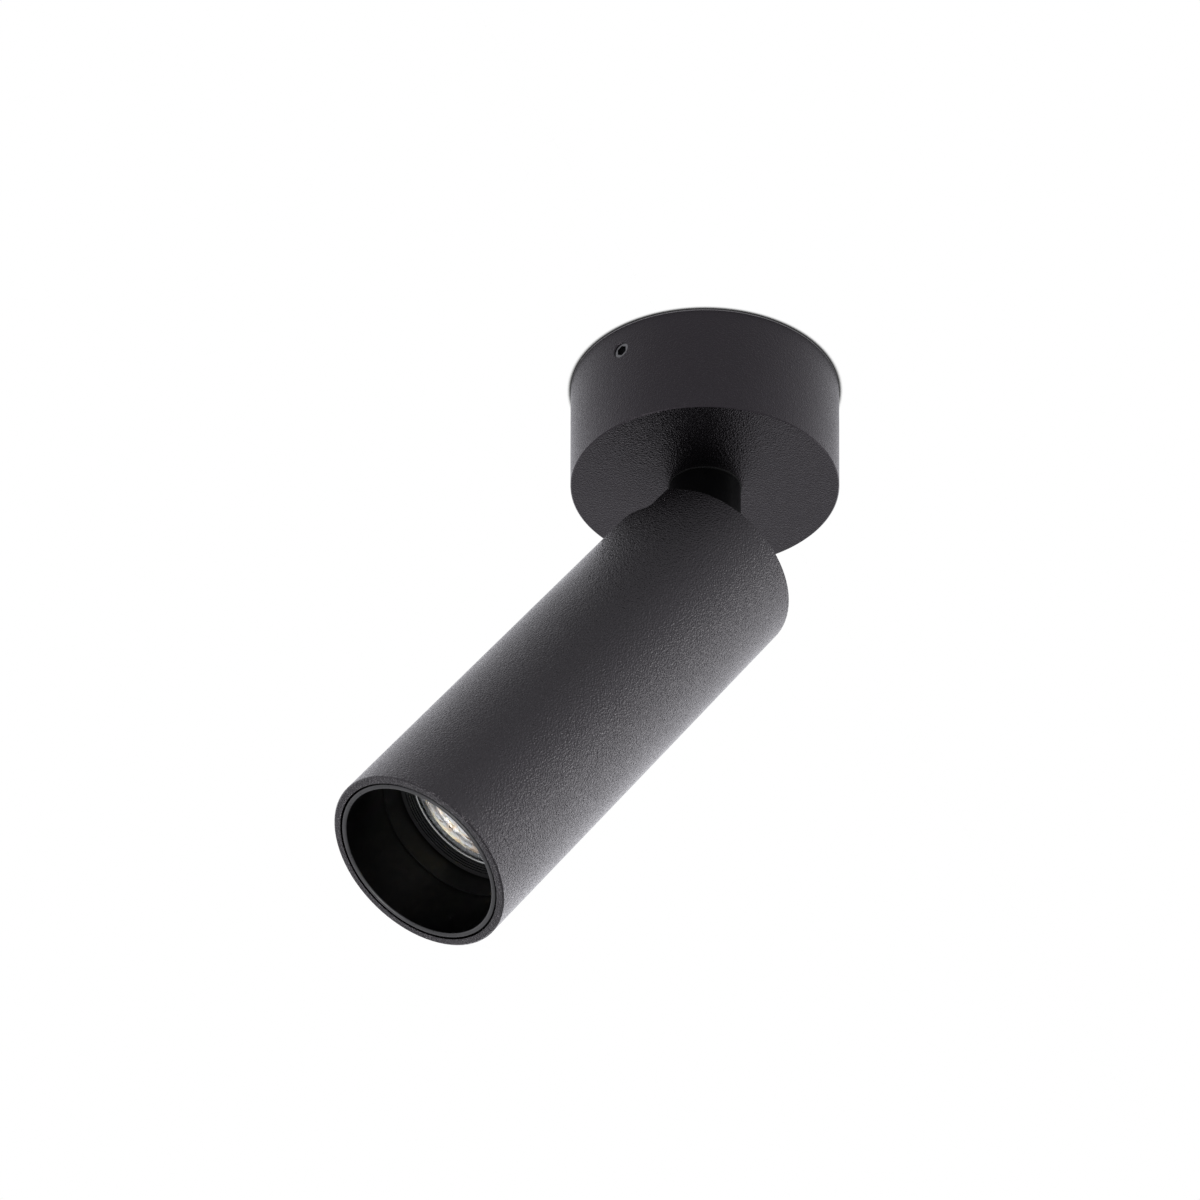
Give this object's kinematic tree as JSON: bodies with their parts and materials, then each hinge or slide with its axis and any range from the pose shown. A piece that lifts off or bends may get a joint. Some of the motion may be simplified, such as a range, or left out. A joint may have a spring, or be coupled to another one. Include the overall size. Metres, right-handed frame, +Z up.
{
  "type": "surface mounted ceiling spotlight",
  "caption": "Tubular spotlight on a round ceiling canopy: a short stem turns in the canopy, and the tube tilts on it through a slot in its rear wall, its lamp deep behind a black baffle.",
  "frame": {"origin": "centre of the canopy's ceiling face, on the pan axis", "axes": "+Z up into the ceiling; the tube tilts towards -X; +Y along the tilt axis"},
  "size_m": [0.1498, 0.081, 0.2063],
  "materials": {
    "black_powder_coat": "fine-textured black powder coat on aluminium",
    "black_satin": "satin black anodised",
    "dark_hardware": "blackened",
    "black_steel": "black zinc plated",
    "zinc_steel": "zinc plated",
    "bright_steel": "plain",
    "raw_aluminium": "extruded",
    "reflector_aluminium": "bright anodised",
    "white_plastic": "moulded",
    "black_plastic": "moulded",
    "clear_lens": "clear",
    "black_rubber": "matte",
    "nylon": "natural",
    "board_green": "solder mask",
    "winding": "taped winding",
    "capacitor_sleeve": "shrink sleeve",
    "wire_brown": "wire insulation",
    "wire_red": "wire insulation",
    "lead_sheath": "matte sheath",
    "ceramic_board": "plain",
    "phosphor": "silicone",
    "brass_plated": "plain"
  },
  "bodies": {
    "canopy": {"canopy": "black_powder_coat", "mounting_bracket": "zinc_steel", "canopy_grub_screws": "dark_hardware", "bracket_screws": "bright_steel", "cable_grommet": "black_rubber", "terminal_block": "white_plastic", "terminal_screws": "brass_plated", "earth_tag": "brass_plated", "earth_screw": "zinc_steel", "driver_case": "white_plastic", "driver_lid": "white_plastic", "driver_board": "board_green", "driver_transformer": "winding", "driver_capacitors": "capacitor_sleeve", "supply_wires": "wire_brown", "driver_lead": "lead_sheath", "stop_pin": "bright_steel", "swivel_washer": "black_plastic"},
    "stem": {"stem": "black_satin", "spring_washer": "bright_steel", "stop_washer": "zinc_steel", "lock_nut": "zinc_steel", "lead_bush": "nylon", "stem_lead": "lead_sheath", "pivot_screws": "dark_hardware", "pivot_washers": "bright_steel"},
    "head": {"head_tube": "black_powder_coat", "yoke": "black_steel", "yoke_screws": "dark_hardware", "head_grommet": "black_rubber", "head_lead": "lead_sheath", "heat_sink": "raw_aluminium", "led_wires": "wire_red", "led_board": "ceramic_board", "led_emitter": "phosphor", "led_holder": "white_plastic", "led_holder_screws": "bright_steel", "optic_sleeve": "black_plastic", "reflector": "reflector_aluminium", "lens": "clear_lens", "lens_ring": "black_plastic", "baffle_spacer": "black_plastic", "front_baffle": "black_satin", "baffle_o_ring": "black_rubber"}
  },
  "joints": [
    {"name": "pan", "type": "hinge", "parent": "canopy", "child": "stem", "pos_m": [0, 0, -0.036], "axis": [0, 0, 1], "range_deg": [-165, 165]},
    {"name": "tilt", "type": "hinge", "parent": "stem", "child": "head", "pos_m": [0, 0, -0.0668], "axis": [0, 1, 0], "range_deg": [-35, 50]}
  ]
}
